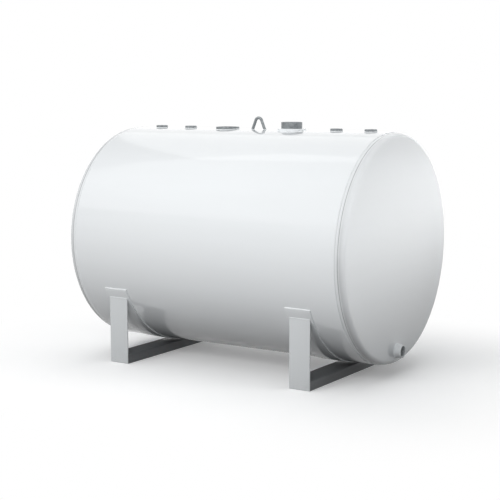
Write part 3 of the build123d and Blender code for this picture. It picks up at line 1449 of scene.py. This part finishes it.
@dataclass
class PipeThreads:
    """A geometry tree that winds a pipe thread at each of several points."""

    sides: int = 72
    tooth_sides: int = 4
    tree: PieceTree = field(init=False)

    def __post_init__(self) -> None:
        """Builds the tree."""
        kinds = {"Radius": "Float", "Length": "Float", "Pitch": "Float", "Tooth": "Float", "Sides": "Int"}
        self.tree = tree = PieceTree("pipe_thread", kinds)
        given = tree.given
        inputs = {
            "Resolution": given["Sides"],
            "Rotations": tree.maths("DIVIDE", given["Length"], given["Pitch"]),
            "Start Radius": given["Radius"],
            "End Radius": given["Radius"],
            "Height": given["Length"],
        }
        wound = tree.add("GeometryNodeCurveSpiral", inputs).outputs[0]
        upright = tree.add("GeometryNodeSetCurveNormal", {"Curve": wound}, mode="Z_UP").outputs[0]
        inputs = {"Resolution": self.tooth_sides, "Radius": given["Tooth"]}
        tooth = tree.add("GeometryNodeCurvePrimitiveCircle", inputs, mode="RADIUS").outputs[0]
        inputs = {"Curve": upright, "Profile Curve": tooth, "Fill Caps": True}
        thread = tree.add("GeometryNodeCurveToMesh", inputs).outputs[0]
        inputs = {"Primary Axis": tree.direction("thread_axis"), "Secondary Axis": (0.0, 1.0, 0.0)}
        axes = {"primary_axis": "Z", "secondary_axis": "Y"}
        turn = tree.add("FunctionNodeAxesToRotation", inputs, **axes).outputs[0]
        tree.end(tree.realized(given["Geometry"], thread, Rotation=turn))

    def wind(
        self, name: str, feet: Sequence[tuple[Vector, Vector]], size: ThreadSize, material: Material
    ) -> Piece:
        """Winds a thread from each foot.

        Args:
            name: the new piece's name.
            feet: where each thread starts, and its axis.
            size: the thread.
            material: the finish.

        Returns:
            The threads, as one plain mesh.
        """
        points, axes = [foot for foot, _ in feet], [tuple(axis) for _, axis in feet]
        return self.tree.run(
            marked_points(name, points, [], "thread_axis", axes),
            Radius=size.radius,
            Length=size.length,
            Pitch=size.form.pitch,
            Tooth=size.form.tooth,
            Sides=self.sides,
            Material=material,
        )


@dataclass
class Fittings:
    """The bungs, riser and lug on the crown, and the drain coupling on the right end."""

    places: TankPlaces
    threads: PipeThreads
    steel: Material
    paint: Material
    riser_edge: float = 1.5 * MILLIMETRE
    riser_thread_length: float = 30.0 * MILLIMETRE
    riser_sink_share: float = 0.55

    def build(self) -> None:
        """Makes and dresses the fittings and their threads."""
        for node in (*SMALL_BUNGS, "large_bung", "vent_riser", "lifting_lug"):
            dress(self.copy(node), [node], self.steel)
        for node in ("vent_riser_ring", "drain_coupling"):
            dress(self.copy(node), [node], self.paint)
        self.bore_thread("small_bung_threads", [f"{node}_thread" for node in SMALL_BUNGS], ThreadForm.SMALL)
        self.bore_thread("large_bung_threads", ["large_bung_thread"], ThreadForm.LARGE)
        self.bore_thread("drain_threads", ["drain_thread"], ThreadForm.SMALL)
        self.riser_thread()

    def copy(self, node: str) -> Piece:
        """A joined and smooth copy of a fitting's node."""
        return merged_copy(f"{node}_piece", self.places.nodes[node])

    def bore_thread(self, name: str, mounts: Sequence[str], form: ThreadForm) -> None:
        """Cuts the thread inside bores of one size.

        Args:
            name: the new piece's name.
            mounts: the bores.
            form: their thread.
        """
        length = self.places.mounts[mounts[0]]["dims"]["length_mm"] * MILLIMETRE - form.pitch
        feet = []
        for mount in mounts:
            axis = Vector(self.places.mounts[mount]["axis"])
            feet.append((Vector(self.places.mounts[mount]["pos_m"]) - axis * length / 2, axis))
        size = ThreadSize(form, self.places.bore(mounts[0]) + form.tooth / 2, length)
        dress(self.threads.wind(name, feet, size, self.steel), [])

    def riser_thread(self) -> None:
        """Cuts the thread round the riser's top."""
        low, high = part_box("vent_riser")
        middle = self.places.centre("vent_riser")
        form, length = ThreadForm.LARGE, self.riser_thread_length
        foot = Vector((middle.x, middle.y, high.z - self.riser_edge - length))
        size = ThreadSize(form, (high.x - low.x) / 2 - form.tooth * self.riser_sink_share, length)
        piece = self.threads.wind("vent_riser_threads", [(foot, Vector(UPWARDS))], size, self.steel)
        dress(piece, [])


@dataclass
class SkidStands:
    """The two stands: straps, legs and crossbars."""

    places: TankPlaces
    leg_shaded_paint: Material
    bar_shaded_paint: Material
    strap_paint: Material
    ease: float = 0.8 * MILLIMETRE
    ease_steps: int = 3
    flat_angle: float = 0.4

    def build(self) -> None:
        """Makes and dresses the stands' pieces."""
        for side in Side:
            for part in ("front_leg", "rear_leg"):
                self.plate(f"{side.word}_{part}", self.leg_shaded_paint)
            self.plate(f"{side.word}_crossbar", self.bar_shaded_paint)
            self.plate(f"{side.word}_saddle", self.strap_paint)

    def plate(self, node: str, material: Material) -> None:
        """One plate with eased edges."""
        made = merged_copy(f"{node}_piece", self.places.nodes[node], self.flat_angle)
        dress(eased(made, self.ease, self.ease_steps), [node], material)


@dataclass(frozen=True)
class Lamp:
    """One soft lamp that the camera doesn't see, and that gloss shows only where it is mirrored."""

    name: str
    place: Triple
    aim: Triple = (0.0, 0.0, 0.7)
    width: float = 1.0
    height: float = 1.0
    radiance: float = 1.0
    spread: float = 180.0
    mirrored: bool = False

    def build(self) -> None:
        """Hangs the lamp."""
        light = bpy.data.lights.new(self.name, "AREA")
        light.shape = "RECTANGLE"
        light.size = self.width
        light.size_y = self.height
        light.energy = self.radiance * math.pi * self.width * self.height
        light.spread = math.radians(self.spread)
        lamp = bpy.data.objects.new(self.name, light)
        lamp.location = self.place
        lamp.rotation_euler = (Vector(self.aim) - Vector(self.place)).to_track_quat("-Z", "Y").to_euler()
        lamp.visible_camera = False
        lamp.visible_glossy = self.mirrored
        bpy.context.scene.collection.objects.link(lamp)


LAMPS = (
    Lamp("sky_lamp", (-0.78, -2.55, 4.95), width=7.0, height=7.4, radiance=0.54, mirrored=True),
    Lamp("key_lamp", (0.4, -4.5, 2.3), width=5.0, height=2.0, radiance=4.4),
    Lamp("side_lamp", (-4.9, -4.9, 3.9), width=6.4, height=3.4, radiance=0.6),
    Lamp("strip_lamp", (-4.2, 0.1, 0.9), (0.0, 0.0, 1.0), width=4.2, height=1.4, radiance=1.3),
    Lamp("end_lamp", (2.9, 0.5, 1.5), (0.86, -0.08, 0.95), width=2.4, height=0.6, radiance=0.88, spread=36.0),
    Lamp("edge_lamp", (2.2, 2.2, 1.3), (0.86, 0.15, 0.78), width=1.4, height=0.8, radiance=0.50, spread=40.0),
    Lamp("rear_lamp", (-0.6, 4.6, 2.6), width=4.0, height=2.6, radiance=2.7),
    Lamp("top_lamp", (-0.6, 2.6, 5.2), width=7.4, height=4.4, radiance=0.52, mirrored=True),
    Lamp(
        "horizon_lamp",
        (-4.0, 6.4, 2.65),
        (0.0, 0.0, 2.0),
        width=13.0,
        height=5.1,
        radiance=0.23,
        mirrored=True,
    ),
)


@dataclass
class Studio:
    """The floor, the light all round, the lamps and the camera."""

    floor_side: float = 160.0
    floor_drop: float = 0.2 * MILLIMETRE
    dome: float = 0.15
    dome_colour: Colour = (0.90, 0.96, 1.0)
    focal_pixels: float = 1230.9
    camera_place: Triple = (3.6374, -5.7808, 1.5139)
    camera_yaw: float = 0.57095
    camera_pitch: float = 0.1307
    sensor: float = 36.0

    def build(self) -> None:
        """Sets the studio up."""
        self.floor()
        self.world()
        self.camera()
        for lamp in LAMPS:
            lamp.build()
        bpy.context.scene.view_settings.view_transform = "Standard"

    def floor(self) -> None:
        """Lays the floor."""
        half = self.floor_side / 2
        mesh = bpy.data.meshes.new("studio_floor")
        corners = [(x * half, y * half, -self.floor_drop) for x, y in ((-1, -1), (1, -1), (1, 1), (-1, 1))]
        mesh.from_pydata(corners, [], [(0, 1, 2, 3)])
        mesh.materials.append(StudioFloor().material())
        new_object("studio_floor", mesh)

    def world(self) -> None:
        """Lights the studio evenly, with a white background."""
        world = bpy.data.worlds.new("studio")
        world.use_nodes = True
        bpy.context.scene.world = world
        graph = NodeGraph(world.node_tree)
        light = graph.tree.nodes["Background"]
        graph.feed(light.inputs["Color"], (*self.dome_colour, 1.0))
        graph.feed(light.inputs["Strength"], self.dome)
        white = graph.add("ShaderNodeBackground", {"Color": (1.0, 1.0, 1.0, 1.0), "Strength": 1.0})
        inputs = {0: graph.seen_rays(), 1: light.outputs[0], 2: white.outputs[0]}
        mix = graph.add("ShaderNodeMixShader", inputs)
        graph.feed(graph.tree.nodes["World Output"].inputs["Surface"], mix.outputs[0])

    def camera(self) -> None:
        """Stands the camera where the photograph was taken."""
        lens = bpy.data.cameras.new("camera")
        lens.sensor_width = self.sensor
        lens.lens = self.focal_pixels * self.sensor / IMAGE_SIDE
        stand = bpy.data.objects.new("camera", lens)
        stand.location = self.camera_place
        stand.rotation_euler = (math.pi / 2 - self.camera_pitch, 0.0, self.camera_yaw)
        bpy.context.scene.collection.objects.link(stand)
        bpy.context.scene.camera = stand


def main() -> None:
    """Builds the studio and every piece."""
    logging.basicConfig(level=logging.INFO, format="%(name)s %(message)s")
    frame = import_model()
    places = TankPlaces.read(frame)
    enamel = Enamel("tank_enamel", rim_shade=RimShade().bands(places)).material()
    leg_shaded_paint = STAND_SHADED_ENAMEL.material()
    bar_shaded_paint = CROSSBAR_SHADED_ENAMEL.material()
    steel = PlainSteel("fitting_steel").material()
    Studio().build()
    TankBody(places, enamel, MillScale("bare_inside").material()).build()
    SkidStands(places, leg_shaded_paint, bar_shaded_paint, enamel).build()
    Fittings(places, PipeThreads(), steel, enamel).build()
    WeldBeads(places, WeldRipples(), enamel).build()


if __name__ == "__main__":
    main()
